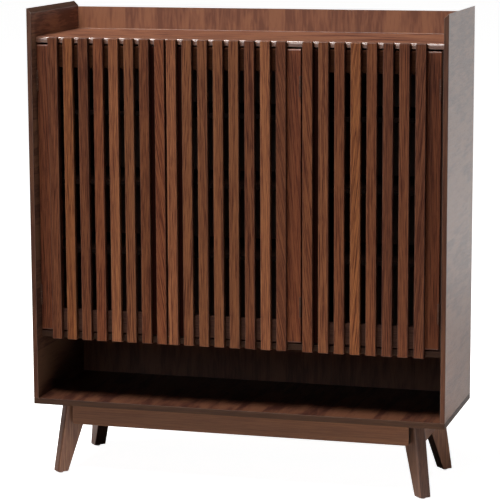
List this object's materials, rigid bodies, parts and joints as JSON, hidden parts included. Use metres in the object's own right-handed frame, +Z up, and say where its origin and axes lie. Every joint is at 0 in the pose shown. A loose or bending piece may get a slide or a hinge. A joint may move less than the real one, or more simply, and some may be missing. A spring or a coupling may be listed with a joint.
{
  "type": "shoe cabinet",
  "caption": "Slatted hallway shoe cabinet: hinged doors of upright slats over an open bay, a shallow tray on top, on splayed blade legs.",
  "frame": {"origin": "on the floor, at the centre of the cabinet's footprint", "axes": "+Z up; the doors face -Y; +X is to the right of someone who faces the doors"},
  "size_m": [1.06, 0.342, 1.185],
  "materials": {
    "walnut_case": "satin walnut veneer",
    "walnut_top": "satin walnut veneer, lighter",
    "walnut_frame": "satin walnut",
    "walnut_slat": "satin walnut, from golden to reddish brown",
    "walnut_leg": "satin walnut",
    "beech_dowel": "plain beech",
    "hinge_bronze": "dark bronze",
    "steel_pin": "plain steel",
    "catch_plastic": "matt brown",
    "glide_pad": "pale matt"
  },
  "bodies": {
    "case": {"side_panel_left": "walnut_case", "side_panel_right": "walnut_case", "bottom_panel": "walnut_case", "fixed_shelf": "walnut_case", "divider": "walnut_case", "hinge_strip": "walnut_case", "loose_shelves": "walnut_case", "apron_front": "walnut_case", "apron_rear": "walnut_case", "apron_left": "walnut_case", "apron_right": "walnut_case", "top_panel": "walnut_top", "back_panel_left": "walnut_top", "back_panel_right": "walnut_top", "leg_front_left": "walnut_leg", "leg_front_right": "walnut_leg", "leg_rear_left": "walnut_leg", "leg_rear_right": "walnut_leg", "shelf_pins": "steel_pin", "hinge_pins": "steel_pin", "dowels": "beech_dowel", "foot_glides": "glide_pad", "hinge_case_leaves": "hinge_bronze", "magnetic_catches": "catch_plastic"},
    "door_left": {"door_left_stile_hinged": "walnut_frame", "door_left_stile_free": "walnut_frame", "door_left_rails": "walnut_frame", "door_left_hinge_leaves": "hinge_bronze", "door_left_slat_1": "walnut_slat", "door_left_slat_2": "walnut_slat", "door_left_slat_3": "walnut_slat", "door_left_slat_4": "walnut_slat", "door_left_slat_5": "walnut_slat", "door_left_slat_6": "walnut_slat", "door_left_slat_7": "walnut_slat", "door_left_slat_8": "walnut_slat"},
    "door_middle": {"door_middle_stile_hinged": "walnut_frame", "door_middle_stile_free": "walnut_frame", "door_middle_rails": "walnut_frame", "door_middle_hinge_leaves": "hinge_bronze", "door_middle_slat_1": "walnut_slat", "door_middle_slat_2": "walnut_slat", "door_middle_slat_3": "walnut_slat", "door_middle_slat_4": "walnut_slat", "door_middle_slat_5": "walnut_slat", "door_middle_slat_6": "walnut_slat", "door_middle_slat_7": "walnut_slat", "door_middle_slat_8": "walnut_slat"},
    "door_right": {"door_right_stile_hinged": "walnut_frame", "door_right_stile_free": "walnut_frame", "door_right_rails": "walnut_frame", "door_right_hinge_leaves": "hinge_bronze", "door_right_slat_1": "walnut_slat", "door_right_slat_2": "walnut_slat", "door_right_slat_3": "walnut_slat", "door_right_slat_4": "walnut_slat", "door_right_slat_5": "walnut_slat", "door_right_slat_6": "walnut_slat", "door_right_slat_7": "walnut_slat", "door_right_slat_8": "walnut_slat"}
  },
  "joints": [
    {"name": "door_left_hinge", "type": "hinge", "parent": "case", "child": "door_left", "pos_m": [-0.5152, -0.1418, 0.7322], "axis": [0, 0, -1], "range_deg": [0, 95]},
    {"name": "door_middle_hinge", "type": "hinge", "parent": "case", "child": "door_middle", "pos_m": [0.1617, -0.1418, 0.7322], "axis": [0, 0, 1], "range_deg": [0, 95]},
    {"name": "door_right_hinge", "type": "hinge", "parent": "case", "child": "door_right", "pos_m": [0.5057, -0.1418, 0.7322], "axis": [0, 0, 1], "range_deg": [0, 95]}
  ]
}
